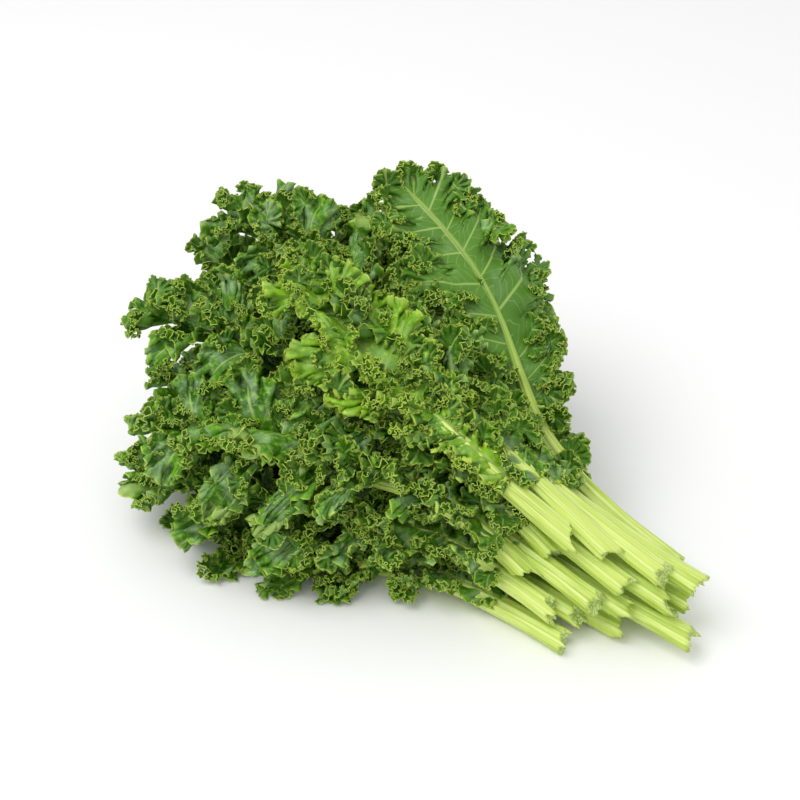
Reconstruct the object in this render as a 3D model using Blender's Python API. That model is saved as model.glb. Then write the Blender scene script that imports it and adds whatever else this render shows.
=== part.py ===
"""A bunch of curly kale, lying on its side: eighteen leaves, each one closed solid of its stem and its blade.

Units are metres, +Z is up. The cut stem ends point along +X, the foliage along -X, and the bunch lies on z = 0.
Every blade is a thick pad that fills the space of its frilled sheet.
"""

import math

import bmesh
import bpy
import numpy as np
from mathutils import Vector

# Driving dimensions.
STEM_RADIUS = 0.0062
NECK_X = 0.100  # where the stems are gathered, just before the blades begin
SIDES = 10  # corners round each ring of a leaf
STEM_RINGS = 5
BLADE_RINGS = 18
PAD_HALF = 0.0058  # half the thickness of a blade pad
LOW_PAD_HALF = 0.0115  # the lowest pads are fuller, and their undersides lie flat on z = 0
TIP_HALF_WIDTH = 0.006
LOW_MIDDLE_Z = 0.020  # a blade whose middle lies lower than this is one of the lowest
BLADE_BASE = 0.0145  # half the width that a blade starts with
WEDGE = math.tan(math.radians(15))  # how fast it widens: each stack keeps to its own wedge of the fan
OUTLINE_SKEW = 0.85  # below 1, a blade is widest a little before its middle
OUTLINE_FULLNESS = 0.50  # the lower, the more evenly wide a blade is
LAST_SHARE = 0.985  # the outline stops just short of closing, so that the tip keeps some width
THINNING = 0.45  # how much thinner a blade is at its tip
LOBES = 4  # shallow lobes along each side of a blade
LOBE_DEPTH = 0.05
ROLL_WITHIN = 1 / 3  # share of a blade over which it turns to its full roll
PAD_WITHIN = 1 / 4  # share of a blade over which it comes to its full thickness
CLEARANCE = 0.0006  # how far a leaf is trimmed back from one that presses into it
CENTRE = Vector((-0.0440, 0.0220, 0.0))  # moves the middle of the bunch onto the origin

# The bunch is five upright stacks of leaves, fanned out from the neck. Each stack has its fan angle in degrees,
# where it passes the neck and where its stems are cut, and the turn of its leaves about their own length.
STACKS = {
    "front": {"fan": -28, "neck_y": -0.058, "cut_y": -0.041, "roll": -5},
    "near": {"fan": -12, "neck_y": -0.042, "cut_y": -0.027, "roll": -2},
    "middle": {"fan": 3, "neck_y": -0.026, "cut_y": -0.013, "roll": 0},
    "far": {"fan": 18, "neck_y": -0.010, "cut_y": 0.001, "roll": 2},
    "back": {"fan": 33, "neck_y": 0.006, "cut_y": 0.015, "roll": 5},
}

# Each leaf: its stack, the heights of its cut end, neck, middle and tip, the length of its blade, half its width
# and where along X its stem is cut.
LEAVES = {
    "leaf_front_low": ("front", 0.0063, 0.0095, 0.008, 0.008, 0.155, 0.041, 0.176),
    "leaf_front_middle": ("front", 0.0213, 0.0365, 0.043, 0.038, 0.168, 0.044, 0.165),
    "leaf_front_top": ("front", 0.0363, 0.0630, 0.077, 0.074, 0.172, 0.044, 0.148),
    "leaf_near_low": ("near", 0.0138, 0.0232, 0.026, 0.023, 0.205, 0.046, 0.172),
    "leaf_near_middle": ("near", 0.0288, 0.0497, 0.060, 0.055, 0.214, 0.046, 0.183),
    "leaf_near_top": ("near", 0.0438, 0.0762, 0.094, 0.092, 0.218, 0.047, 0.154),
    "leaf_middle_low": ("middle", 0.0063, 0.0095, 0.008, 0.008, 0.215, 0.045, 0.187),
    "leaf_middle_lower": ("middle", 0.0213, 0.0365, 0.043, 0.039, 0.230, 0.047, 0.190),
    "leaf_middle_upper": ("middle", 0.0363, 0.0630, 0.077, 0.073, 0.235, 0.048, 0.190),
    "leaf_middle_top": ("middle", 0.0513, 0.0895, 0.111, 0.127, 0.232, 0.048, 0.179),
    "leaf_far_low": ("far", 0.0138, 0.0232, 0.026, 0.023, 0.205, 0.046, 0.222),
    "leaf_far_middle": ("far", 0.0288, 0.0497, 0.060, 0.056, 0.210, 0.046, 0.205),
    "leaf_far_top": ("far", 0.0438, 0.0762, 0.094, 0.100, 0.205, 0.047, 0.202),
    "leaf_back_low": ("back", 0.0063, 0.0095, 0.008, 0.008, 0.160, 0.040, 0.200),
    "leaf_back_middle": ("back", 0.0213, 0.0365, 0.043, 0.038, 0.165, 0.042, 0.208),
    "leaf_back_top": ("back", 0.0363, 0.0610, 0.076, 0.078, 0.170, 0.042, 0.214),
}

# Two leaves lie on top of the stacks, out of line with them: the route of each one's midrib, its roll in degrees
# and half its width.
TOP_LEAVES = {
    "leaf_turned_over": (
        [(0.192, 0.031, 0.0210), (0.110, 0.024, 0.067), (0.038, 0.034, 0.126), (-0.036, 0.034, 0.158)],
        12,
        0.046,
    ),
    "leaf_young": (
        [(0.162, -0.027, 0.0600), (0.096, -0.046, 0.0975), (0.030, -0.050, 0.127), (-0.036, -0.040, 0.147)],
        -4,
        0.034,
    ),
}

# Where two blades press together, the first one named is dented by the second.
PRESSED = [
    ("leaf_back_low", "leaf_middle_low"),
    ("leaf_back_middle", "leaf_middle_lower"),
    ("leaf_far_low", "leaf_middle_lower"),
    ("leaf_far_low", "leaf_near_low"),
    ("leaf_far_middle", "leaf_middle_upper"),
    ("leaf_far_middle", "leaf_near_middle"),
    ("leaf_far_top", "leaf_middle_top"),
    ("leaf_far_top", "leaf_near_top"),
    ("leaf_turned_over", "leaf_far_top"),
    ("leaf_front_low", "leaf_middle_low"),
    ("leaf_front_middle", "leaf_front_top"),
    ("leaf_front_middle", "leaf_middle_lower"),
    ("leaf_front_top", "leaf_middle_upper"),
    ("leaf_near_middle", "leaf_front_top"),
    ("leaf_middle_upper", "leaf_middle_top"),
    ("leaf_turned_over", "leaf_middle_top"),
    ("leaf_young", "leaf_middle_top"),
    ("leaf_near_top", "leaf_middle_upper"),
    ("leaf_near_middle", "leaf_near_top"),
]

BLADE_COLOURS = {
    "front": (0.10, 0.24, 0.05, 1.0),
    "near": (0.13, 0.28, 0.06, 1.0),
    "middle": (0.15, 0.32, 0.07, 1.0),
    "far": (0.12, 0.26, 0.06, 1.0),
    "back": (0.10, 0.22, 0.05, 1.0),
    "turned": (0.18, 0.30, 0.12, 1.0),
    "young": (0.26, 0.42, 0.08, 1.0),
}


def smooth_path(points, count):
    """count points evenly along a smooth curve through the given ones."""
    points = np.array(points, float)
    along = np.concatenate([[0.0], np.cumsum(np.linalg.norm(np.diff(points, axis=0), axis=1))])
    slopes = np.diff(points, axis=0) / np.diff(along)[:, None]
    tangents = np.zeros_like(points)
    for i in range(1, len(points) - 1):
        tangents[i] = (points[i + 1] - points[i - 1]) / (along[i + 1] - along[i - 1])
    tangents[0] = 1.5 * slopes[0] - 0.5 * tangents[1]
    tangents[-1] = 1.5 * slopes[-1] - 0.5 * tangents[-2]
    path = []
    for at in np.linspace(0.0, along[-1], count):
        i = int(np.clip(np.searchsorted(along, at, side="right") - 1, 0, len(points) - 2))
        span = along[i + 1] - along[i]
        t = (at - along[i]) / span
        path.append(
            (2 * t**3 - 3 * t**2 + 1) * points[i]
            + (t**3 - 2 * t**2 + t) * span * tangents[i]
            + (3 * t**2 - 2 * t**3) * points[i + 1]
            + (t**3 - t**2) * span * tangents[i + 1]
        )
    return np.array(path)


def stack_route(stack, cut_z, neck_z, middle_z, tip_z, reach, cut_x):
    """The four points that a stacked leaf's midrib passes: cut end, neck, middle of the blade and tip."""
    place = STACKS[stack]
    fan = math.radians(place["fan"])
    neck = Vector((NECK_X, place["neck_y"], neck_z))
    outwards = Vector((-math.cos(fan), math.sin(fan), 0.0))
    middle = neck + 0.5 * reach * outwards
    tip = neck + reach * outwards
    middle.z = middle_z
    tip.z = tip_z
    return [(cut_x, place["cut_y"], cut_z), tuple(neck), tuple(middle), tuple(tip)]


def ring_sizes(share):
    """Half width and half thickness of a blade, as shares of its largest, at a share of its length."""
    outline = math.sin(math.pi * min(share, LAST_SHARE) ** OUTLINE_SKEW) ** OUTLINE_FULLNESS
    lobes = 1.0 + LOBE_DEPTH * math.cos(2 * math.pi * (LOBES * share + 0.5))
    return outline * lobes, 1.0 - THINNING * share**3


def leaf_rings(route, neck_share, roll, half_width, pad_half, grown=0.0):
    """Rings of corners from the cut end of the stem to the tip of the blade, grown outwards if asked."""
    fine = smooth_path(route, 200)
    length = float(np.linalg.norm(np.diff(fine, axis=0), axis=1).sum()) * (1.0 - neck_share)
    stem_shares = np.linspace(0.0, neck_share, STEM_RINGS)
    blade_shares = neck_share + (1.0 - neck_share) * np.linspace(0.0, 1.0, BLADE_RINGS + 1)[1:]
    rings = []
    for share in [*stem_shares, *blade_shares]:
        at = share * (len(fine) - 1)
        i = min(int(at), len(fine) - 2)
        middle = Vector(fine[i] + (at - i) * (fine[i + 1] - fine[i]))
        along = Vector(fine[min(i + 3, len(fine) - 1)] - fine[max(i - 3, 0)]).normalized()
        across = along.cross(Vector((0.0, 0.0, 1.0))).normalized()
        upwards = across.cross(along)
        blade = max(0.0, (share - neck_share) / (1.0 - neck_share))
        turn = math.radians(roll) * min(1.0, blade / ROLL_WITHIN)
        sideways = across * math.cos(turn) + upwards * math.sin(turn)
        normal = upwards * math.cos(turn) - across * math.sin(turn)
        wide, thick = STEM_RADIUS, STEM_RADIUS
        if blade > 0.0:
            width_share, thick_share = ring_sizes(blade)
            opened = min(1.0, blade / PAD_WITHIN)
            wide = min(half_width * width_share, BLADE_BASE + WEDGE * length * blade)
            wide = max(wide, TIP_HALF_WIDTH)
            thick = STEM_RADIUS + (pad_half * thick_share - STEM_RADIUS) * opened
        ring = []
        for k in range(SIDES):
            angle = 2 * math.pi * (k + 0.5) / SIDES - math.pi / 2
            corner = middle + sideways * ((wide + grown) * math.cos(angle))
            corner += normal * ((thick + grown) * math.sin(angle))
            corner.z = max(corner.z, -grown)
            ring.append(corner + CENTRE)
        rings.append(ring)
    return rings


def loft(name, rings):
    """One closed mesh through the rings, with a flat cap at each end."""
    mesh = bmesh.new()
    rows = [[mesh.verts.new(corner) for corner in ring] for ring in rings]
    for first, second in zip(rows, rows[1:]):
        for k in range(SIDES):
            after = (k + 1) % SIDES
            mesh.faces.new((first[k], first[after], second[after], second[k]))
    mesh.faces.new(rows[0][::-1])
    mesh.faces.new(rows[-1])
    bmesh.ops.triangulate(mesh, faces=mesh.faces)
    bmesh.ops.recalc_face_normals(mesh, faces=mesh.faces)
    data = bpy.data.meshes.new(name)
    mesh.to_mesh(data)
    mesh.free()
    data.shade_smooth()
    data.set_sharp_from_angle(angle=math.radians(50))
    return bpy.data.objects.new(name, data)


def leaf_material(name, colour):
    material = bpy.data.materials.new(name)
    material.use_nodes = True
    shader = material.node_tree.nodes["Principled BSDF"]
    shader.inputs["Base Color"].default_value = colour
    shader.inputs["Roughness"].default_value = 0.55
    shader.inputs["Metallic"].default_value = 0.0
    return material


def neck_share_of(route):
    """The share of a leaf's length at which its second route point, the neck, lies."""
    points = np.array(route, float)
    steps = np.linalg.norm(np.diff(points, axis=0), axis=1)
    return float(steps[0] / steps.sum())


def leaf_plans():
    """For each leaf its colour group, route, roll, half width and half thickness."""
    plans = {}
    for name, (stack, cut_z, neck_z, middle_z, tip_z, reach, half_width, cut_x) in LEAVES.items():
        route = stack_route(stack, cut_z, neck_z, middle_z, tip_z, reach, cut_x)
        pad_half = LOW_PAD_HALF if middle_z < LOW_MIDDLE_Z else PAD_HALF
        plans[name] = (stack, route, STACKS[stack]["roll"], half_width, pad_half)
    for name, (route, roll, half_width) in TOP_LEAVES.items():
        plans[name] = (name.split("_")[1], route, roll, half_width, PAD_HALF)
    return plans


def new_collection(name):
    collection = bpy.data.collections.new(name)
    bpy.context.scene.collection.children.link(collection)
    return collection


def make_cutter(name, plan, cutters):
    """The grown copy of a leaf that dents its neighbours."""
    _, route, roll, half_width, pad_half = plan
    rings = leaf_rings(route, neck_share_of(route), roll, half_width, pad_half, CLEARANCE)
    cutter = loft(name + "_cutter", rings)
    cutter.hide_render = True
    cutter.display_type = "WIRE"
    cutters.objects.link(cutter)
    return cutter


def main():
    for thing in list(bpy.data.objects):
        bpy.data.objects.remove(thing)
    bunch = new_collection("kale_bunch")
    cutters = new_collection("cutters")
    plans = leaf_plans()
    leaves = {}
    for name, (group, route, roll, half_width, pad_half) in plans.items():
        rings = leaf_rings(route, neck_share_of(route), roll, half_width, pad_half)
        leaves[name] = loft(name, rings)
        leaves[name].data.materials.append(leaf_material(name + "_green", BLADE_COLOURS[group]))
        bunch.objects.link(leaves[name])
    made = {name: make_cutter(name, plans[name], cutters) for name in sorted({second for _, second in PRESSED})}
    for first, second in PRESSED:
        dent = leaves[first].modifiers.new("pressed_by_" + second, "BOOLEAN")
        dent.operation = "DIFFERENCE"
        dent.solver = "EXACT"
        dent.object = made[second]


main()
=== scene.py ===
import math

import bpy
import numpy as np
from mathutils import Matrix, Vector


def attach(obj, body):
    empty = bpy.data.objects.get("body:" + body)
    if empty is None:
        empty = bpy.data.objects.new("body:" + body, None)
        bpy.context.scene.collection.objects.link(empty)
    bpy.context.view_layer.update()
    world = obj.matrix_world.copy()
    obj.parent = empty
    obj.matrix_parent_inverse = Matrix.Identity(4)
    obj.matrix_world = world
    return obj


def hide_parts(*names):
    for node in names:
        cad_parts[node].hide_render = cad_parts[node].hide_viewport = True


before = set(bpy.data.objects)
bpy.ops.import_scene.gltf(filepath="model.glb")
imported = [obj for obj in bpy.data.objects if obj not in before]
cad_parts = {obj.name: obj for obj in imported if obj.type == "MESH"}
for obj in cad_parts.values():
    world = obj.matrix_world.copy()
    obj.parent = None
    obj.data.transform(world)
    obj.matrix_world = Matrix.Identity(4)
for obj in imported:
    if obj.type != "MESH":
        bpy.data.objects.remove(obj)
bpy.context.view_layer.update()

# Curly kale, one bunch lying on its side. Metres, +Z up, cut stems at +X, foliage at -X.
# Every leaf is three pieces: its stalk, which runs on as the midrib, its frilled blade, and the
# ruffled side lobes that crowd over the blade.

detail = 1.0  # share of the columns along each frilled margin

# The bunch as it was laid out: five upright stacks of leaves fanned out from the neck.
bunch = {
    "centre": (-0.0440, 0.0220, 0.0),  # moves the middle of the bunch onto the origin
    "neckX": 0.100,
    "stemRadius": 0.0062,
    "stacks": {
        "front": {"fan": -28, "neckY": -0.058, "cutY": -0.041, "roll": -5},
        "near": {"fan": -12, "neckY": -0.042, "cutY": -0.027, "roll": -2},
        "middle": {"fan": 3, "neckY": -0.026, "cutY": -0.013, "roll": 0},
        "far": {"fan": 18, "neckY": -0.010, "cutY": 0.001, "roll": 2},
        "back": {"fan": 33, "neckY": 0.006, "cutY": 0.015, "roll": 5},
    },
    # stack, heights of cut end, neck, middle and tip, blade length, half width, and where along X
    # the stem is cut
    "leaves": {
        "front_low": ("front", 0.0063, 0.0095, 0.008, 0.008, 0.155, 0.041, 0.176),
        "front_middle": ("front", 0.0213, 0.0365, 0.043, 0.038, 0.168, 0.044, 0.165),
        "front_top": ("front", 0.0363, 0.0630, 0.077, 0.074, 0.172, 0.044, 0.148),
        "near_low": ("near", 0.0138, 0.0232, 0.026, 0.023, 0.205, 0.046, 0.172),
        "near_middle": ("near", 0.0288, 0.0497, 0.060, 0.055, 0.214, 0.046, 0.183),
        "near_top": ("near", 0.0438, 0.0762, 0.094, 0.092, 0.218, 0.047, 0.154),
        "middle_low": ("middle", 0.0063, 0.0095, 0.008, 0.008, 0.215, 0.045, 0.187),
        "middle_lower": ("middle", 0.0213, 0.0365, 0.043, 0.039, 0.230, 0.047, 0.190),
        "middle_upper": ("middle", 0.0363, 0.0630, 0.077, 0.073, 0.235, 0.048, 0.190),
        "middle_top": ("middle", 0.0513, 0.0895, 0.111, 0.127, 0.232, 0.048, 0.179),
        "far_low": ("far", 0.0138, 0.0232, 0.026, 0.023, 0.205, 0.046, 0.222),
        "far_middle": ("far", 0.0288, 0.0497, 0.060, 0.056, 0.210, 0.046, 0.205),
        "far_top": ("far", 0.0438, 0.0762, 0.094, 0.100, 0.205, 0.047, 0.202),
        "back_low": ("back", 0.0063, 0.0095, 0.008, 0.008, 0.160, 0.040, 0.200),
        "back_middle": ("back", 0.0213, 0.0365, 0.043, 0.038, 0.165, 0.042, 0.208),
        "back_top": ("back", 0.0363, 0.0610, 0.076, 0.078, 0.170, 0.042, 0.214),
    },
    # midrib route, roll in degrees and half width of the two leaves that lie on top
    "topLeaves": {
        "turned_over": (
            [
                (0.192, 0.031, 0.0210), (0.110, 0.024, 0.067),
                (0.038, 0.034, 0.126), (-0.036, 0.034, 0.158),
            ],
            12, 0.046,
        ),
        "young": (
            [
                (0.162, -0.027, 0.0600), (0.096, -0.046, 0.0975),
                (0.030, -0.050, 0.127), (-0.036, -0.040, 0.147),
            ],
            -4, 0.034,
        ),
    },
}

# How each leaf is held. a is its -Y side, b its +Y side: the slope of the blade beside the midrib and
# at the margin, in degrees, plus is upwards. wide is the flat blade's half width over the solid's, and
# sides scales each side of it. curls is how many side lobes stand on its face, curlSize scales them,
# and bare is the stretch of the blade where they keep to the margin. amount scales the frills, cut is
# how deep the lobes are parted, stand scales how far they rise, and taper is how fast the midrib thins.
# tipShift and neckShift move the midrib there, in metres. flip shows the underside.
held = {
    "front_low": {
        "a": (18, 10), "b": (18, 5), "wide": 1.12, "sides": (0.8, 1), "amount": 0.9, "curls": 84,
        "curlSize": 1.1,
    },
    "front_middle": {
        "a": (25, -5), "b": (35, 0), "wide": 1.18, "sides": (0.9, 1), "curls": 84,
        "tipShift": (-0.04, 0.004, -0.008),
    },
    "front_top": {"a": (42, -38), "b": (60, -5), "wide": 1.28, "curls": 84},
    "near_low": {
        "a": (20, 5), "b": (20, 5), "wide": 1.12, "amount": 0.9, "curls": 66, "curlSize": 1.15,
    },
    "near_middle": {"a": (35, -5), "b": (35, 0), "wide": 1.18, "amount": 0.9, "curls": 78},
    "near_top": {
        "a": (60, -25), "b": (62, 0), "wide": 1.28, "curls": 84, "curlSize": 1.15,
        "tipShift": (-0.003, -0.002, 0.01),
    },
    "middle_low": {
        "a": (16, 0), "b": (16, 0), "wide": 1.12, "amount": 0.9, "curls": 48, "curlSize": 1.15,
    },
    "middle_lower": {"a": (25, 0), "b": (25, 0), "wide": 1.12, "amount": 0.9, "curls": 56},
    "middle_upper": {
        "a": (35, 0), "b": (35, 0), "wide": 1.18, "amount": 0.9, "curls": 84, "curlSize": 1.2,
        "tipShift": (0.0, -0.019, 0.038),
    },
    "middle_top": {
        "a": (60, -30), "b": (60, -20), "wide": 1.28, "curls": 84, "curlSize": 1.15,
        "tipShift": (0.002, 0.002, 0.011),
    },
    "far_low": {"a": (20, 5), "b": (20, 5), "wide": 1.12, "amount": 0.9, "curls": 36},
    "far_middle": {"a": (35, 0), "b": (35, -5), "wide": 1.18, "amount": 0.9, "curls": 56},
    "far_top": {
        "a": (60, 0), "b": (60, -20), "wide": 1.28, "curls": 84, "curlSize": 1.15,
        "tipShift": (-0.004, -0.01, 0.018),
    },
    "back_low": {"a": (18, 5), "b": (18, 0), "wide": 1.12, "amount": 0.9, "curls": 72},
    "back_middle": {"a": (35, 0), "b": (25, -12), "wide": 1.18, "curls": 72},
    "back_top": {"a": (60, -5), "b": (42, -38), "wide": 1.28, "curls": 84},
    "turned_over": {
        "a": (4, 14), "b": (0, 60), "wide": 1.05, "sides": (0.95, 0.9), "flip": True, "amount": 0.9,
        "cut": 0.35, "stand": 0.25, "taper": 2.8, "neckShift": (0.0, -0.005, -0.007),
        "tipShift": (0.0, 0.0, 0.006), "curls": 84, "bare": (0.56, 0.93),
    },
    "young": {
        "a": (28, 0), "b": (28, 0), "wide": 1.2, "amount": 0.85, "cut": 0.45, "stand": 0.5,
        "curls": 60, "curlSize": 0.9,
    },
}

blade = {
    "thickness": 0.00040,
    "sink": 0.006,  # the midrib runs this far below the middle of the blade's own space
    "lowest": 0.0045,  # and never nearer the floor than this
    "wing": 0.038,  # how far the narrow frill runs down the stalk below the blade
    "wingHalf": 0.010,
    "baseHalf": 0.0165,  # half width where the blade begins, and how fast it widens from there
    "flare": 0.42,
    "lobe": 0.0175,  # spacing along the margin
    "lobeCut": 0.62,  # how deep the cuts between lobes reach, as a share of the way to the midrib
    "lobeSpread": 0.0075,  # how far each lobe widens over its neighbours
    "nick": 0.0075,  # spacing and depth of the small nicks round each lobe
    "nickDepth": 0.0026,
    "lobeStand": (22, 50),  # every other lobe stands up this much more beside the midrib and at its margin
    "lobeShort": 0.22,  # and is this much shorter
    # unevenness of the lobes' places, of their cuts, of the outline and of the nicks, each over a length
    "lobeUneven": (0.35, 0.03),
    "cutUneven": (0.3, 0.025),
    "outlineUneven": (0.10, 0.05),
    "nickUneven": (1.5, 0.01),
    "slant": 0.55,  # how far the veins lean towards the tip
    "tipLead": 0.09,  # the last ones leave the midrib this share of the length before the tip
    "blisters": ((0.0030, 0.015), (0.0015, 0.0065)),  # height and size of the puckers between veins
    "flatBeside": 0.012,  # the puckers fade out this near the midrib
    "drawn": 1600,  # points along each side of the outline as it is first drawn
    "columns": 3584,  # along the whole margin, a multiple of 8
    "rows": (6, 5, 5, 4),  # in bands from midrib to margin, each with twice the columns of the one before
    "bands": (0.0, 0.46, 0.72, 0.90, 1.0),
}

# How a blade folds up from its midrib.
folding = {
    "atStalk": 0.3,  # share of the slopes where the blade begins, how fast it grows, and the least of it
    "growth": 3.2,
    "least": 0.2,
    "opens": 0.45,  # how far the fold opens again towards the tip, and from where along the blade
    "opensFrom": 0.72,
    "nearWander": (0.22, 17),  # unevenness of the two slopes, and how many waves of it the margin holds
    "farWander": (12, 23),
    "turn": (0.16, 0.50),  # where across the blade one slope gives way to the other, and over how much
    "onTop": (0.75, 2.2),  # the blade leaves the midrib this high and this wide, in midrib radii
}

# Three sizes of frill: wavelength and height in metres, overhang as a share of the height, how wide a
# strip along the margin it fills, how uneven it is, and how much it shrinks where the blade is narrow.
frills = (
    {"wave": 0.0170, "height": 0.0052, "overhang": 0.42, "strip": 0.017, "uneven": 0.5, "shrink": 0.4},
    {"wave": 0.0076, "height": 0.0030, "overhang": 0.50, "strip": 0.0085, "uneven": 0.4, "shrink": 0.1},
    {"wave": 0.0032, "height": 0.00120, "overhang": 0.42, "strip": 0.0040, "uneven": 0.3, "shrink": 0.0},
)


def linear(code):
    # sRGB hex to linear RGBA
    parts = [int(code[i:i + 2], 16) / 255 for i in (1, 3, 5)]
    return tuple(c / 12.92 if c <= 0.04045 else ((c + 0.055) / 1.055) ** 2.4 for c in parts) + (1.0,)


def smoothPath(points, count):
    points = np.array(points, float)
    along = np.concatenate([[0.0], np.cumsum(np.linalg.norm(np.diff(points, axis=0), axis=1))])
    slopes = np.diff(points, axis=0) / np.diff(along)[:, None]
    tangents = np.zeros_like(points)
    for i in range(1, len(points) - 1):
        tangents[i] = (points[i + 1] - points[i - 1]) / (along[i + 1] - along[i - 1])
    tangents[0] = 1.5 * slopes[0] - 0.5 * tangents[1]
    tangents[-1] = 1.5 * slopes[-1] - 0.5 * tangents[-2]
    at = np.linspace(0.0, along[-1], count)
    i = np.clip(np.searchsorted(along, at, side="right") - 1, 0, len(points) - 2)
    span = (along[i + 1] - along[i])[:, None]
    t = (at - along[i])[:, None] / span
    return (
        (2 * t**3 - 3 * t**2 + 1) * points[i]
        + (t**3 - 2 * t**2 + t) * span * tangents[i]
        + (3 * t**2 - 2 * t**3) * points[i + 1]
        + (t**3 - t**2) * span * tangents[i + 1]
    )


def leafRoute(name):
    # route of the midrib, its roll and the half width of the blade
    if name in bunch["topLeaves"]:
        points, roll, half = bunch["topLeaves"][name]
        route = [np.array(p) for p in points]
        route[1] += held[name].get("neckShift", (0, 0, 0))
        return route, roll, half
    stack, cutZ, neckZ, middleZ, tipZ, reach, half, cutX = bunch["leaves"][name]
    stackAt = bunch["stacks"][stack]
    fan = math.radians(stackAt["fan"])
    neck = np.array([bunch["neckX"], stackAt["neckY"], neckZ])
    outwards = np.array([-math.cos(fan), math.sin(fan), 0.0])
    middle = neck + 0.5 * reach * outwards
    tip = neck + reach * outwards
    middle[2] = middleZ
    tip[2] = tipZ
    return [np.array([cutX, stackAt["cutY"], cutZ]), neck, middle, tip], stackAt["roll"], half


def routeSteps(route):
    # lengths of the stalk and of the blade's two halves
    return [np.linalg.norm(route[i + 1] - route[i]) for i in range(3)]


def wander(rng, at, wavelength):
    # smooth noise from -1 to 1 along a line
    at = np.asarray(at, float) / wavelength
    knots = rng.uniform(-1, 1, int(np.ceil(at.max() - at.min())) + 4)
    at = at - at.min() + 1
    i = at.astype(int)
    t = at - i
    a, b, c, d = (knots[i + k] for k in (-1, 0, 1, 2))
    return b + 0.5 * t * (c - a + t * (2 * a - 5 * b + 4 * c - d + t * (3 * (b - c) + d - a)))


def midribPath(name, count):
    # the midrib's middle line, which dips a little below the leaf's own middle past the neck
    route, _, _ = leafRoute(name)
    steps = routeSteps(route)
    neckShare = steps[0] / sum(steps)
    path = smoothPath(route, count) + np.array(bunch["centre"])
    dip = np.clip((np.linspace(0, 1, count) - neckShare) / (1 - neckShare) * 3, 0, 1)
    bend = np.clip((np.linspace(0, 1, count) - 0.6) / 0.4, 0, 1)[:, None] ** 2
    path += bend * np.array(held[name].get("tipShift", (0, 0, 0)))
    sink = -0.5 * blade["sink"] if held[name].get("flip") else blade["sink"]
    path[:, 2] -= sink * dip * dip * (3 - 2 * dip)
    path[:, 2] = np.maximum(path[:, 2], blade["lowest"])
    return path


def unit(vectors):
    return vectors / np.maximum(np.linalg.norm(vectors, axis=-1, keepdims=True), 1e-12)


def midribFrames(path, roll):
    along = unit(np.gradient(path, axis=0))
    across = unit(np.cross(along, [0.0, 0.0, 1.0]))
    up = np.cross(across, along)
    turn = np.radians(roll)[:, None]
    return along, across * np.cos(turn) + up * np.sin(turn), up * np.cos(turn) - across * np.sin(turn)


def outlineHalf(share, half, length):
    # half width of the flat blade at a share of its length
    rounded = np.sin(np.pi * np.clip(share, 0.0, 1.0) ** 0.85) ** 0.5
    return np.minimum(half * rounded, blade["baseHalf"] + blade["flare"] * length * share)


def sheetNormals(sheet):
    # the way each point faces, and the way the margin runs there
    down = np.gradient(sheet, axis=0)
    out = np.gradient(sheet, axis=1)
    return unit(np.cross(down, out)), unit(down)


def smoothed(values, reach):
    # running mean along the margin, twice
    for _ in range(2):
        before = np.repeat(values[:1], reach + 1, 0)
        padded = np.concatenate([before, values, np.repeat(values[-1:], reach, 0)])
        sums = np.cumsum(padded, axis=0)
        values = (sums[2 * reach + 1:] - sums[:-2 * reach - 1]) / (2 * reach + 1)
    return values


def blotches(rng, x, y, size):
    # smooth noise from -1 to 1 over a plane
    x = x / size
    y = y / size
    x = x - x.min()
    y = y - y.min()
    knots = rng.uniform(-1, 1, (int(x.max()) + 2, int(y.max()) + 2))
    i, j = x.astype(int), y.astype(int)
    u, v = x - i, y - j
    u, v = u * u * (3 - 2 * u), v * v * (3 - 2 * v)
    low = knots[i, j] * (1 - u) + knots[i + 1, j] * u
    high = knots[i, j + 1] * (1 - u) + knots[i + 1, j + 1] * u
    return low * (1 - v) + high * v


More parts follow.
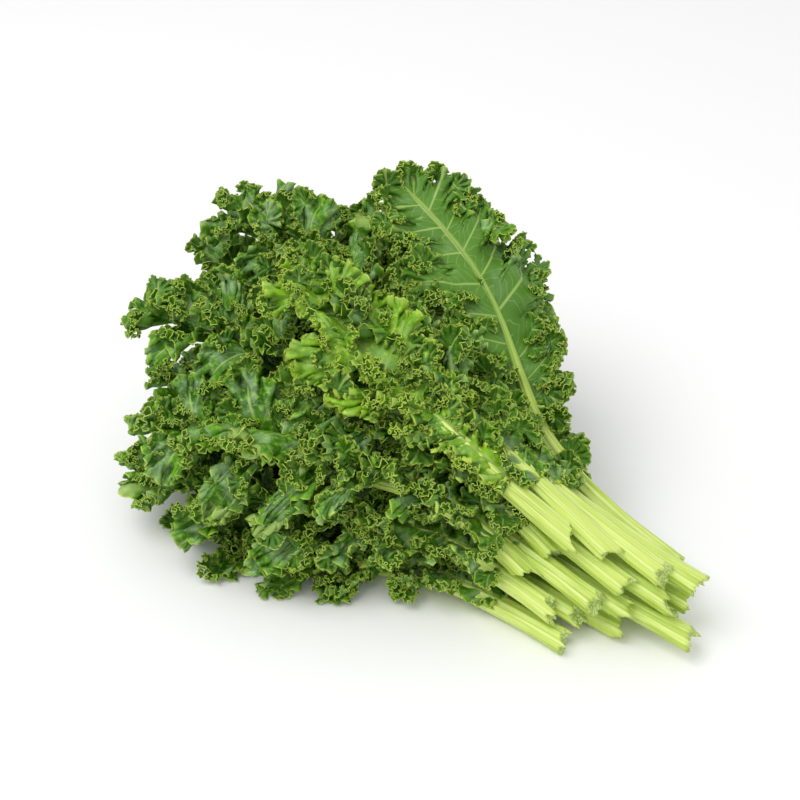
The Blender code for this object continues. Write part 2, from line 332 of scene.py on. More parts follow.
def flatBlade(name, rng):
    # the blade pressed flat: for each column along the margin its root on the midrib, its end and its lobe
    route, _, half = leafRoute(name)
    half = half * held[name]["wide"]
    steps = routeSteps(route)
    length = steps[1] + steps[2]
    wing = blade["wing"]
    fine = np.linspace(0, 1, blade["drawn"])
    x = -wing + (length + wing) * (0.5 - 0.5 * np.cos(np.pi * fine)) ** 0.9
    narrow = blade["wingHalf"] + (blade["baseHalf"] - blade["wingHalf"]) * np.clip(1 + x / wing, 0, 1) ** 2
    y = np.where(x < 0, narrow, outlineHalf(x / length, half, length)) * np.clip(fine / 0.04, 0, 1) ** 0.6
    x = np.concatenate([x, x[::-1][1:]])
    sideA, sideB = held[name].get("sides", (1, 1))
    y = np.concatenate([-y * sideA, sideB * y[::-1][1:]])
    # each column starts on the midrib a little nearer the stalk and runs out at a slant
    lead = blade["tipLead"] * length * np.clip(x / length, 0, 1) ** 3
    lead = np.maximum(blade["slant"] * np.abs(y), lead)
    root = np.clip(x - lead, -wing, None)
    reach = np.hypot(x - root, y)
    along = np.concatenate([[0], np.cumsum(np.hypot(np.diff(x), np.diff(y)))])
    uneven, over = blade["lobeUneven"]
    lobe = along / blade["lobe"] + uneven * wander(rng, along, over)
    narrowing = np.clip(np.abs(y) / half, 0.2, 1)
    cut = (0.5 - 0.5 * np.cos(2 * np.pi * lobe)) ** 1.9
    uneven, over = blade["cutUneven"]
    depth = held[name].get("cut", blade["lobeCut"]) * (1 + uneven * wander(rng, along, over))
    depth = depth * np.clip(narrowing * 1.5, 0, 1)  # cuts are shallow where the blade is narrow
    uneven, over = blade["outlineUneven"]
    kept = 1.06 - np.clip(depth, 0, 0.8) * cut + uneven * wander(rng, along, over)
    kept -= blade["lobeShort"] * (0.5 + 0.5 * np.cos(np.pi * lobe)) * narrowing
    endX = root + (x - root) * kept
    endY = y * kept
    tangent = unit(np.stack([np.gradient(x), np.gradient(y)], 1))
    spread = tangent * (blade["lobeSpread"] * np.sin(2 * np.pi * lobe) * narrowing)[:, None]
    edge = np.stack([endX, endY], 1) + spread
    arc = np.concatenate([[0], np.cumsum(np.linalg.norm(np.diff(edge, axis=0), axis=1))])
    tangent = unit(smoothed(np.gradient(edge, axis=0), 3))
    uneven, over = blade["nickUneven"]
    nick = (0.5 - 0.5 * np.cos(2 * np.pi * arc / blade["nick"] + uneven * wander(rng, arc, over))) ** 1.5
    inwards = np.stack([-tangent[:, 1], tangent[:, 0]], 1)
    spread += inwards * (blade["nickDepth"] * nick * np.clip(reach / 0.02, 0.2, 1))[:, None]
    columns = int(blade["columns"] * detail) // 8 * 8 + 1
    at = np.linspace(0, arc[-1], columns)
    return half, length, [np.interp(at, arc, values) for values in (root, endX, endY, *spread.T, lobe)]


def frilledSheet(name, rng):
    # points of the blade's middle surface, columns along the margin by rows from midrib to margin
    half, length, (root, endX, endY, spreadX, spreadY, lobe) = flatBlade(name, rng)
    shares, level = bandShares(blade)
    t = shares[None, :]
    sx = root[:, None] + (endX - root)[:, None] * t + spreadX[:, None] * t**2
    sy = endY[:, None] * t + spreadY[:, None] * t**2
    sheet = onCarrier(name, half, length, sx, sy, lobe, rng)
    normals, _ = sheetNormals(sheet)
    inBlade = np.clip(np.abs(sy) / blade["flatBeside"], 0, 1)
    puckers = sum(high * blotches(rng, sx, sy, across) for high, across in blade["blisters"])
    sheet = sheet + normals * (puckers * inBlade)[..., None]
    amount = held[name].get("amount", 1.0)
    size = np.clip(np.abs(endY) / half, 0.15, 1)[:, None]
    column = np.hypot(endX - root, endY)[:, None]
    fromEdge = (1 - t) * column
    widest = 1.4 * np.abs(endY)[:, None] + 0.002  # no frill reaches in past the midrib
    carrier = sheet
    sheet = addFrills(sheet, frills, fromEdge, column, widest, size, amount, rng)
    keepAboveFloor(sheet)
    lobes = np.broadcast_to(lobe[:, None], fromEdge.shape)
    return sheet, carrier, endX / length, level, {"fromEdge": fromEdge, "reach": t * column, "lobe": lobes}


# How a frill varies along the margin, each over a stretch of so many of its wavelengths.
ripple = {
    "soften": 0.14,  # it rises from the surface averaged over this
    "drift": (2.0, 2.2),  # how far its folds bunch up, in radians
    "shear": (1.8, 1.7),  # how far they lean on their way to the midrib, in radians
    "unevenOver": 1.3,
    "steepest": 0.28,  # most height, as a share of the way to the midrib, and a little more
    "spare": 0.0003,
}


def addFrills(sheet, kinds, fromEdge, column, widest, size, amount, rng):
    # each kind of frill in turn ripples the margin that the one before has left
    for frill in kinds:
        wave = frill["wave"]
        run = np.concatenate([[0], np.cumsum(np.linalg.norm(np.diff(sheet[:, -1], axis=0), axis=1))])
        normals, down = sheetNormals(sheet)
        window = max(1, int(ripple["soften"] * wave / (run[-1] / len(run))))
        normals, down = smoothed(normals, window), smoothed(down, window)
        drift, over = ripple["drift"]
        phase = 2 * np.pi * run / wave + drift * wander(rng, run, over * wave) + rng.uniform(0, 6.28)
        depth = np.clip(fromEdge / np.minimum(frill["strip"], widest), 0, 1)
        shear, over = ripple["shear"]
        phase = phase[:, None] + wander(rng, run, over * wave)[:, None] * depth * shear
        uneven = frill["uneven"] * wander(rng, run, ripple["unevenOver"] * wave)
        height = (frill["height"] * amount * (1 + uneven))[:, None] * size ** frill["shrink"]
        height = np.minimum(height, ripple["steepest"] * column + ripple["spare"]) * (1 - depth)
        sheet = sheet + normals * (height * np.sin(phase))[..., None]
        sheet = sheet - down * (height * frill["overhang"] * np.sin(2 * phase))[..., None]
    return sheet


def keepAboveFloor(sheet):
    # what would go through the floor is pressed flat above it
    floor, soft = 0.0012, 0.004
    low = sheet[..., 2] - floor
    sheet[..., 2] = floor + np.where(low > soft, low, soft * np.exp(np.clip(low / soft - 1, -30, 0)))


def bandShares(rows):
    # shares from midrib to margin for the rows, and the band that each row belongs to
    edges = rows["bands"]
    shares, level = [edges[0]], [0]
    for band, count in enumerate(rows["rows"]):
        for k in range(count):
            part = (k + 1) / count
            if band == len(rows["rows"]) - 1:
                part = 1 - (1 - part) ** 1.4  # closer together at the margin
            shares.append(edges[band] + (edges[band + 1] - edges[band]) * part)
            level.append(band)
    return np.array(shares), level


def onCarrier(name, half, length, sx, sy, lobe, rng):
    # lays flat blade coordinates on the leaf's own folded surface
    route, roll, _ = leafRoute(name)
    hold = held[name]
    total = length + np.linalg.norm(route[1] - route[0])
    neckShare = 1 - length / total
    path = midribPath(name, 400)
    opened = np.clip((np.linspace(0, 1, len(path)) - neckShare) / (1 - neckShare) * 3, 0, 1)
    _, across, up = midribFrames(path, roll * opened)
    where = np.clip(neckShare + sx / total, 0, 1.06) * (len(path) - 1)
    i = np.clip(where.astype(int), 0, len(path) - 2)
    middle = path[i] + (where - i)[..., None] * (path[i + 1] - path[i])
    b = sy[:, -1:] > 0
    reach = np.abs(sy)
    # slope beside the midrib, less so on the stalk and where the fold opens towards the tip
    x = sx[:, -1:] / length
    opening = np.clip((x - folding["opensFrom"]) / (1 - folding["opensFrom"]), 0, 1)
    fold = np.clip(folding["atStalk"] + folding["growth"] * x, folding["least"], 1)
    fold = fold * (1 - folding["opens"] * opening)
    column = np.arange(len(sx))
    uneven, waves = folding["nearWander"]
    uneven = 1 + uneven * wander(rng, column, len(sx) / waves)[:, None]
    near = np.where(b, hold["b"][0], hold["a"][0]) * fold * uneven
    uneven, waves = folding["farWander"]
    far = np.where(b, hold["b"][1], hold["a"][1]) + uneven * wander(rng, column, len(sx) / waves)[:, None]
    stand = np.cos(np.pi * lobe)[:, None] * np.clip(np.abs(sy[:, -1:]) / 0.02, 0, 1) * hold.get("stand", 1)
    near = np.clip(near + blade["lobeStand"][0] * stand, -80, 80)
    far = far + blade["lobeStand"][1] * stand
    turnFrom, turnOver = folding["turn"]
    turn = np.clip((reach / half - turnFrom) / turnOver, 0, 1)
    flip = -1 if hold.get("flip") else 1
    slope = np.radians(near + (far - near) * turn * turn * (3 - 2 * turn)) * flip
    slope[:, 1:] = 0.5 * (slope[:, 1:] + slope[:, :-1])
    steps = np.diff(reach, axis=1, prepend=0)
    sideways = np.cumsum(np.cos(slope) * steps, axis=1) * np.where(b, 1, -1)
    upwards = np.cumsum(np.sin(slope) * steps, axis=1)
    # the blade leaves the midrib at its upper face
    thick = midribRadius(np.clip(x, 0, 1), hold.get("taper", 1.5))
    high, wide = folding["onTop"]
    upwards += high * thick * np.exp(-((reach / (wide * thick)) ** 2)) * flip
    return middle + across[i] * sideways[..., None] + up[i] * upwards[..., None]


def sheetFaces(columns, level):
    # quads and triangles over the sheet, with fewer columns near the midrib, and the widest step of them
    index = np.arange(columns * len(level)).reshape(columns, len(level))
    stride = [2 ** (max(level) - band) for band in level]
    quads, tris = [], []
    for r in range(len(level) - 1):
        near, far = stride[r], stride[r + 1]
        a = index[::near, r]
        if near == far:
            b = index[::near, r + 1]
            quads.append(np.stack([a[:-1], a[1:], b[1:], b[:-1]], 1))
        else:
            b = index[::far, r + 1]
            b0, b1, b2 = b[0:-1:2], b[1::2], b[2::2]
            tris += [
                np.stack([a[:-1], b1, b0], 1),
                np.stack([a[:-1], a[1:], b1], 1),
                np.stack([a[1:], b2, b1], 1),
            ]
    return np.concatenate(quads), np.concatenate(tris), stride[0]


def thickSheets(name, sheets, level, attributes, flipped):
    # closed thin solids from sheets with the same rows, each face of each in its own cell of the bake map
    count, columns, rows = sheets.shape[:3]
    quads, tris, widest = sheetFaces(columns, level)
    used = np.unique(np.concatenate([quads.ravel(), tris.ravel()]))
    remap = np.full(columns * rows, -1)
    remap[used] = np.arange(len(used))
    normals = np.stack([sheetNormals(sheet)[0] for sheet in sheets])
    middle = sheets.reshape(count, -1, 3)[:, used]
    offset = normals.reshape(count, -1, 3)[:, used] * blade["thickness"] / 2
    points = np.concatenate([middle + offset, middle - offset], axis=1)
    n = len(used)
    quads, tris = remap[quads], remap[tris]
    # the open edges: the margin, the two short ends and the root
    edges = [remap[np.arange(columns) * rows + rows - 1]]
    for c in (0, columns - 1):
        line = remap[c * rows + np.arange(rows)]
        edges.append(line[line >= 0])
    edges.append(remap[np.arange(0, columns, widest) * rows])
    rim = []
    for k, line in enumerate(edges):
        a, b = line[:-1], line[1:]
        strip = np.stack([a, a + n, b + n, b], 1)
        rim.append(strip if k in (0, 1) else strip[:, ::-1])
    faces4 = np.concatenate([quads, quads[:, ::-1] + n, *rim])
    faces3 = np.concatenate([tris, tris[:, ::-1] + n])
    shift = 2 * n * np.arange(count)[:, None, None]
    faces4 = (faces4 + shift).reshape(-1, 4)
    faces3 = (faces3 + shift).reshape(-1, 3)
    mesh = meshFrom(name, points.reshape(-1, 3), faces4, faces3)
    # the bake map: a grid of cells with a gap round each
    cellsAcross = 1 if count == 1 else 10
    cellsUp = math.ceil(2 * count / cellsAcross)
    cell = np.arange(2 * count)[:, None]
    gap = 0.03
    u = (cell % cellsAcross + gap + (1 - 2 * gap) * (used // rows) / (columns - 1)) / cellsAcross
    v = (cell // cellsAcross + gap + (1 - 2 * gap) * (used % rows) / (rows - 1)) / cellsUp
    setMap(mesh, u.ravel(), v.ravel())
    for key, values in attributes.items():
        flat = values.reshape(count, -1)[:, used]
        addAttribute(mesh, key, np.concatenate([flat, flat], axis=1).ravel())
    side = np.concatenate([np.zeros(n), np.ones(n)])
    addAttribute(mesh, "underside", np.tile(1 - side if flipped else side, count))
    return mesh


def meshFrom(name, points, faces4, faces3=None):
    mesh = bpy.data.meshes.new(name)
    faces3 = np.zeros((0, 3), int) if faces3 is None else faces3
    mesh.vertices.add(len(points))
    mesh.vertices.foreach_set("co", points.astype(np.float32).ravel())
    loops = np.concatenate([faces4.ravel(), faces3.ravel()]).astype(np.int32)
    mesh.loops.add(len(loops))
    mesh.loops.foreach_set("vertex_index", loops)
    starts = np.concatenate([np.arange(len(faces4)) * 4, len(faces4) * 4 + np.arange(len(faces3)) * 3])
    mesh.polygons.add(len(starts))
    mesh.polygons.foreach_set("loop_start", starts.astype(np.int32))
    mesh.update(calc_edges=True)
    mesh.shade_smooth()
    return mesh


def setMap(mesh, u, v):
    corners = np.zeros(len(mesh.loops), np.int32)
    mesh.loops.foreach_get("vertex_index", corners)
    uv = mesh.uv_layers.new(name="OFBake")
    uv.data.foreach_set("uv", np.stack([u[corners], v[corners]], 1).astype(np.float32).ravel())


def addAttribute(mesh, name, values):
    layer = mesh.attributes.new(name, "FLOAT", "POINT")
    layer.data.foreach_set("value", values.astype(np.float32))


def placePiece(name, mesh, node, material):
    piece = bpy.data.objects.new(name, mesh)
    bpy.context.scene.collection.objects.link(piece)
    piece.data.materials.append(material)
    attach(piece, "root")
    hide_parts(node)


# The curls: ruffled side lobes that stand up from the face of a blade and crowd over it.
curl = {
    "radius": (0.0070, 0.0110),  # smallest and largest
    "halfFan": 1.75,  # radians to each side of the way it points
    "uneven": (0.20, 0.7),  # how much its outline varies, over how many radians
    "squared": 0.12,  # how much shorter it is at its sides
    "cup": (0.10, 0.60),  # how much its two sides rise, as a share of their distance out
    "roll": 0.45,  # how far its end rolls back
    "tilt": (15, 75),  # from along the blade to straight up from it, in degrees
    "yaw": 55,
    "nick": 0.0042,  # spacing and depth of the nicks round its end
    "nickDepth": 0.0013,
    "veinFrom": 0.006,  # its veins look as they do this far out on the blade
    "columns": 113,
    "rows": (2, 2, 3),
    "bands": (0.08, 0.42, 0.74, 1.0),
    "frills": (
        {"wave": 0.0078, "height": 0.0027, "overhang": 0.46, "strip": 0.0068, "uneven": 0.5, "shrink": 0},
        {"wave": 0.0031, "height": 0.0011, "overhang": 0.42, "strip": 0.0036, "uneven": 0.4, "shrink": 0},
    ),
    "places": (0.97, 0.62, 0.84, 0.48, 0.74, 0.38),  # where from midrib to margin each next one stands
    "clearOfMidrib": 0.009,
    "steady": 25,  # columns of the blade that its direction is averaged over
}


def curlSheet(base, out, up, size, shares, rng):
    radius = rng.uniform(*curl["radius"]) * size
    angle = np.linspace(-1, 1, curl["columns"]) * curl["halfFan"]
    uneven, over = curl["uneven"]
    reach = radius * (1 + uneven * wander(rng, angle, over))
    reach = reach * (1 - curl["squared"] * (angle / curl["halfFan"]) ** 2)
    nick = (0.5 - 0.5 * np.cos(2 * np.pi * angle * radius / curl["nick"] + rng.uniform(0, 6))) ** 2
    reach = (reach - curl["nickDepth"] * nick)[:, None]
    distance = reach * shares
    ahead = distance * np.cos(angle)[:, None]
    sideways = distance * np.sin(angle)[:, None]
    lift = rng.uniform(*curl["cup"]) * np.abs(sideways)
    lift = lift - rng.uniform(-0.5, 1) * curl["roll"] * distance**2 / radius
    side = np.cross(out, up)
    sheet = base + ahead[..., None] * out - sideways[..., None] * side + lift[..., None] * up
    fromEdge = reach * (1 - shares)
    sheet = addFrills(sheet, curl["frills"], fromEdge, reach, 0.7 * reach, 1.0, 1.0, rng)
    keepAboveFloor(sheet)
    looks = {"fromEdge": fromEdge, "reach": distance + curl["veinFrom"], "lobe": sideways / blade["lobe"]}
    return sheet, looks


def curlSheets(name, sheet, carrier, along, reach, rng):
    # spread along the whole margin, each at the next of the places between midrib and margin
    shares, level = bandShares(curl)
    normals, down = sheetNormals(carrier)
    normals, down = smoothed(normals, curl["steady"]), smoothed(down, curl["steady"])
    rowShares = bandShares(blade)[0]
    count = held[name]["curls"]
    size = held[name].get("curlSize", 1.0)
    bare = held[name].get("bare", (1, 1))
    sheets, attributes = [], {"fromEdge": [], "reach": [], "lobe": []}
    for k in range(count):
        column = int((k + rng.uniform(0.1, 0.9)) / count * (len(sheet) - 1))
        inBare = bare[0] < along[column] < bare[1]
        outwards = curl["places"][0 if inBare else k % len(curl["places"])]
        row = int(np.argmin(np.abs(rowShares - outwards)))
        up = unit(normals[column, row])
        out = unit(np.cross(down[column, row], up))
        if (carrier[column, -1] - carrier[column, 0]) @ out < 0:
            out = -out
        yaw = math.radians(rng.uniform(-1, 1) * curl["yaw"])
        tilt = math.radians(rng.uniform(*curl["tilt"]))
        out = math.cos(yaw) * out + math.sin(yaw) * np.cross(up, out)
        ahead = math.cos(tilt) * out + math.sin(tilt) * up
        up = math.cos(tilt) * up - math.sin(tilt) * out
        if reach[column, row] < curl["clearOfMidrib"]:
            continue
        curled, looks = curlSheet(sheet[column, row], ahead, up, size, shares, rng)
        sheets.append(curled)
        for key, values in looks.items():
            attributes[key].append(values)
    return np.stack(sheets), level, {key: np.stack(values) for key, values in attributes.items()}


def buildLeaf(name, seed, materials):
    rng = np.random.default_rng(seed)
    flipped = bool(held[name].get("flip"))
    material = materials["young" if name == "young" else "blade"]
    sheet, carrier, along, level, attributes = frilledSheet(name, rng)
    mesh = thickSheets("blade_" + name, sheet[None], level, attributes, flipped)
    placePiece("blade_" + name, mesh, "leaf_" + name, material)
    sheets, level, attributes = curlSheets(name, sheet, carrier, along, attributes["reach"], rng)
    mesh = thickSheets("curls_" + name, sheets, level, attributes, False)
    placePiece("curls_" + name, mesh, "leaf_" + name, material)


# Stalk and midrib in one: round and ridged below, tapering away along the blade.
stalk = {
    "sides": 48,
    "rings": 150,
    "ridges": 9,
    "ridgeHeight": 0.00042,
    "neckRadius": 0.0046,
    "tipRadius": 0.0005,
    "swollen": (0.10, 0.03),  # how much thicker the cut end is, and over what share of the length
    "wobble": (0.03, 0.05),  # unevenness of its thickness, likewise
    "flatTop": 0.72,  # its upper side is flattened to this
    "slant": 0.0055,  # most lean of the cut, from the middle to the skin
    "ragged": 0.0013,
    "shreds": 3,
    "shredLength": (0.002, 0.0065),
    "shredWidth": (0.10, 0.28),  # radians round the stalk
    "tornOver": 0.006,  # the tear dies away this far up the stalk
    "pith": ((0.86, 0.0), (0.6, 0.0006), (0.3, 0.0009)),  # rings of the cut face: size and how deep
    "pithRough": 0.0003,
    "aboveFloor": 0.0006,
}


def midribRadius(share, taper=1.5):
    return stalk["neckRadius"] * (1 - share) ** taper + stalk["tipRadius"]


def buildStalk(name, seed, materials):
    rng = np.random.default_rng(seed)
    route, roll, _ = leafRoute(name)
    steps = routeSteps(route)
    neckShare = steps[0] / sum(steps)
    rings = stalk["rings"]
    path = midribPath(name, rings)
    share = np.linspace(0, 1, rings)
    opened = np.clip((share - neckShare) / (1 - neckShare) * 3, 0, 1)
    along, across, up = midribFrames(path, roll * opened)
    if held[name].get("flip"):
        up, across = -up, -across
    inStem = np.clip(share / neckShare, 0, 1)
    inBlade = np.clip((share - neckShare) / (1 - neckShare), 0, 1)
    more, over = stalk["swollen"]
    swollen = bunch["stemRadius"] * (1.0 + more * np.exp(-share / over))
    below = swollen + (midribRadius(0) - swollen) * inStem**1.5
    radius = np.where(inBlade > 0, midribRadius(inBlade, held[name].get("taper", 1.5)), below)
    more, over = stalk["wobble"]
    radius *= 1 + more * wander(rng, share, over)
    angle = np.linspace(0, 2 * np.pi, stalk["sides"], endpoint=False)
    ridge = np.cos(stalk["ridges"] * angle + rng.uniform(0, 6))
    ridge = 1 + stalk["ridgeHeight"] / bunch["stemRadius"] * ridge
    flat = np.where(np.sin(angle) > 0, stalk["flatTop"], 1.0)
    ca = np.cos(angle) * ridge
    sa = np.sin(angle) * ridge * flat
    points = (
        path[:, None]
        + across[:, None] * (radius[:, None] * ca[None])[..., None]
        + up[:, None] * (radius[:, None] * sa[None])[..., None]
    )
    # a torn, slanting cut with a few longer shreds of skin
    slant = rng.uniform(-stalk["slant"], stalk["slant"], 2)
    ragged = stalk["ragged"] * wander(rng, np.arange(stalk["sides"] + 1), 1.6)[:-1]
    push = slant[0] * ca + slant[1] * sa + ragged
    for _ in range(stalk["shreds"]):
        away = np.abs((angle - rng.uniform(0, 2 * np.pi) + np.pi) % (2 * np.pi) - np.pi)
        shred = rng.uniform(*stalk["shredLength"])
        push += shred * np.exp(-((away / rng.uniform(*stalk["shredWidth"])) ** 2))
    fade = np.exp(-share * sum(steps) / stalk["tornOver"])
    points -= along[:, None] * (push[None] * fade[:, None])[..., None]
    points[..., 2] = np.maximum(points[..., 2], stalk["aboveFloor"])
    count = stalk["sides"]
    index = np.arange(rings * count).reshape(rings, count)
    after = np.roll(index, -1, axis=1)
    quads = np.stack([index[:-1], after[:-1], after[1:], index[1:]], -1).reshape(-1, 4)
    # the cut face, sinking a little to the pith, and one point to close each end
    allPoints = [points.reshape(-1, 3)]
    capStart = rings * count
    ring = index[0]
    capQuads = []
    middle = points[0].mean(0)
    for k, (inwards, sink) in enumerate(stalk["pith"]):
        cap = middle + (points[0] - middle) * inwards + along[0] * sink
        cap += along[0] * stalk["pithRough"] * rng.uniform(-1, 1, (count, 1))
        allPoints.append(cap)
        inner = capStart + k * count + np.arange(count)
        capQuads.append(np.stack([ring, inner, np.roll(inner, -1), np.roll(ring, -1)], 1))
        ring = inner
    allPoints.append((middle + along[0] * sink)[None])
    allPoints.append(path[-1][None])
    centreIndex = capStart + 3 * count
    tipIndex = centreIndex + 1
    tris = [np.stack([ring, np.full(count, centreIndex), np.roll(ring, -1)], 1)]
    tris.append(np.stack([index[-1], np.roll(index[-1], -1), np.full(count, tipIndex)], 1))
    quads = np.concatenate([quads, *capQuads])
    mesh = meshFrom("stalk_" + name, np.concatenate(allPoints), quads, np.concatenate(tris))
    # where each point lies along and round the stalk, for its material
    lengthwise = np.repeat(share * sum(steps), count)
    lengthwise = np.concatenate([lengthwise, np.zeros(3 * count + 1), [sum(steps)]])
    around = np.concatenate([np.tile(angle, rings + 3), [0.0, 0.0]])
    onBlade = np.concatenate([np.repeat(inBlade, count), np.zeros(3 * count + 1), [1.0]])
    cut = np.concatenate([np.zeros(rings * count), np.full(count, 0.6), np.ones(2 * count + 1), [0.0]])
    addAttribute(mesh, "lengthwise", lengthwise)
    addAttribute(mesh, "aroundX", np.cos(around))
    addAttribute(mesh, "aroundY", np.sin(around))
    addAttribute(mesh, "onBlade", onBlade)
    addAttribute(mesh, "cut", cut)
    placePiece("stalk_" + name, mesh, "leaf_" + name, materials["stalk"])


def newMaterial(name):
    material = bpy.data.materials.new(name)
    material.use_nodes = True
    material.node_tree.nodes.clear()
    return material, material.node_tree


def addNode(tree, kind, settings=None, sockets=(), out=0, **named):
    # adds a node with its settings, links or fills its sockets by place or by name, gives one output
    node = tree.nodes.new("ShaderNode" + kind)
    for key, value in (settings or {}).items():
        setattr(node, key, value)
    given = dict(sockets) if isinstance(sockets, dict) else dict(enumerate(sockets))
    given.update({key.replace("_", " "): value for key, value in named.items()})
    for key, value in given.items():
        if isinstance(value, bpy.types.NodeSocket):
            tree.links.new(value, node.inputs[key])
        else:
            node.inputs[key].default_value = value
    return node.outputs[out] if len(node.outputs) else node


# Settings that come up again and again.
smooth = {"interpolation_type": "SMOOTHSTEP"}
colours = {"data_type": "RGBA"}
times = {"operation": "MULTIPLY"}
minus = {"operation": "SUBTRACT"}
pingPong = {"operation": "PINGPONG"}

# Kale leaf, grown. Its waxy bloom is a bluish grey over deep green, in part painted sheen; the frilled
# margin is thin, young tissue and shows yellow-green, with a painted highlight as a bright line right
# on its edge; side veins are pale. Sizes are in metres, and two are coarser than the real ones, because
# those are too fine to show: the cells (about 1 mm) and the highlighted rim line (0.3 mm).
kaleLeaf = {
    "deep": "#275f06",
    "face": "#5b9a14",
    "fresh": "#8fcb30",
    "beneathDeep": "#386c10",
    "beneathFace": "#72a836",
    "vein": "#b4d272",
    # rim: painted highlight, a bright line along the margin's edge where it catches the light
    "rim": "#dcf468",
    # bloom: the waxy bloom's bluish grey, in part a painted sheen, laid on in patches that are rubbed off
    "waxBloomAndSheen": "#bcd6ac",
    "waxBloomAndSheenAmount": 0.34,
    "waxBloomAndSheenPatch": 0.01053,  # the bloom is rubbed off in patches this wide
    "mottle": 0.02632,  # broad shift from deep to lighter green
    "grain": 0.00303,  # the puckered cells between the finest veins
    "grainDepth": 0.0006,
    "midrib": "#b9d273",
    "midribAmount": 0.8,
    "midribWidth": (0.0008, 0.0024),
    "veinAmount": 0.7,
    "veinWidth": 0.0009,
    "veinThins": 0.016,  # metres lost for each metre away from the midrib
    "branchAmount": 0.315,
    "branchSpacing": 0.0065,
    "branchSlant": 1.2,
    "branchWaver": 5.0,
    # strength and width of the painted highlight along the margin's edge
    "rimHighlightAmount": 0.75,
    "rimHighlightWidth": 0.0008,
    "freshAmount": 0.5,
    "freshBand": 0.0045,
    "roughness": 0.38,
    "ior": 1.45,
    "through": 0.20,  # share of the light that shines through
}

# The youngest leaf is thinner, with less bloom and less painted sheen, and bright yellow-green all over.
youngLeaf = {
    **kaleLeaf,
    "deep": "#5ea414",
    "face": "#98d022",
    "fresh": "#c2ea48",
    # rim: the painted highlight along the margin's edge
    "rim": "#e8fa70",
    "waxBloomAndSheenAmount": 0.15,
    "through": 0.28,
}


def waxyKaleLeaf(name, look):
    material, tree = newMaterial(name)
    under, reach, lobe, fromEdge = [
        addNode(tree, "Attribute", {"attribute_name": key}, out="Fac")
        for key in ("underside", "reach", "lobe", "fromEdge")
    ]
    where = addNode(tree, "TexCoord", out="Object")
    broad = addNode(tree, "TexNoise", Vector=where, Scale=1 / look["mottle"], Detail=3.0)
    small = addNode(tree, "TexNoise", Vector=where, Scale=1 / look["grain"], Detail=4.0)
    waxBloomAndSheen = addNode(tree, "TexNoise", Vector=where, Scale=1 / look["waxBloomAndSheenPatch"], Detail=4.0)
    # distance across from the lobe's own vein, which thins on its way out
    across = addNode(tree, "Math", pingPong, [lobe, 0.5])
    across = addNode(tree, "Math", times, [across, blade["lobe"]])
    thinned = addNode(tree, "Math", times, [reach, look["veinThins"]])
    width = addNode(tree, "Math", minus, [look["veinWidth"], thinned])
    share = addNode(tree, "Math", {"operation": "DIVIDE"}, [across, width])
    mainVein = addNode(tree, "MapRange", smooth, [share, 0.35, 1.0, look["veinAmount"], 0.0])
    # the branches that leave it at a slant
    lag = addNode(tree, "Math", times, [across, look["branchSlant"]])
    branch = addNode(tree, "Math", minus, [reach, lag])
    branch = addNode(tree, "Math", {"operation": "DIVIDE"}, [branch, look["branchSpacing"]])
    waver = addNode(tree, "Math", times, [broad, look["branchWaver"]])
    branch = addNode(tree, "Math", {"operation": "ADD"}, [branch, waver])
    branch = addNode(tree, "Math", pingPong, [branch, 0.5])
    branches = addNode(tree, "MapRange", smooth, [branch, 0.02, 0.065, look["branchAmount"], 0.0])
    veins = addNode(tree, "Math", {"operation": "MAXIMUM"}, [mainVein, branches])
    midrib = addNode(tree, "MapRange", smooth, [reach, *look["midribWidth"], look["midribAmount"], 0.0])
    # painted highlight: a bright yellow-green line right along the margin's edge
    highlightFrom, highlightTo = 0.15 * look["rimHighlightWidth"], look["rimHighlightWidth"]
    rim = addNode(tree, "MapRange", smooth, [fromEdge, highlightFrom, highlightTo, look["rimHighlightAmount"], 0.0])
    margin = addNode(tree, "MapRange", smooth, [fromEdge, 0.0, look["freshBand"], look["freshAmount"], 0.0])
    # patches of the waxy bloom's bluish grey, part of which is painted sheen
    bloomAndSheenMask = addNode(tree, "MapRange", smooth, [waxBloomAndSheen, 0.45, 0.62, 0.0, look["waxBloomAndSheenAmount"]])
    mottled = addNode(tree, "MapRange", smooth, [broad, 0.3, 0.7])
    grainy = addNode(tree, "MapRange", smooth, [small, 0.45, 0.75])
    # the upper face and the underside, then what shows on both
    face, beneath = linear(look["deep"]), linear(look["beneathDeep"])
    beneath = addNode(tree, "Mix", colours, {0: broad, 6: beneath, 7: linear(look["beneathFace"])}, 2)
    layers = [(mottled, "face"), (grainy, "fresh"), (margin, "fresh"), (bloomAndSheenMask, "waxBloomAndSheen")]
    for amount, colour in layers:
        face = addNode(tree, "Mix", colours, {0: amount, 6: face, 7: linear(look[colour])}, 2)
    face = addNode(tree, "Mix", colours, {0: under, 6: face, 7: beneath}, 2)
    # pale veins and midrib, then the painted highlight along the margin's edge
    for amount, colour in [(veins, "vein"), (midrib, "midrib"), (rim, "rim")]:
        face = addNode(tree, "Mix", colours, {0: amount, 6: face, 7: linear(look[colour])}, 2)
    bump = addNode(tree, "Bump", Height=small, Strength=0.25, Distance=look["grainDepth"])
    waxy = {"Base Color": face, "Roughness": look["roughness"], "IOR": look["ior"], "Normal": bump}
    skin = addNode(tree, "BsdfPrincipled", None, waxy)
    glow = addNode(tree, "BsdfTranslucent", Color=face)
    mixed = addNode(tree, "MixShader", None, [look["through"], skin, glow])
    addNode(tree, "OutputMaterial", Surface=mixed)
    return material


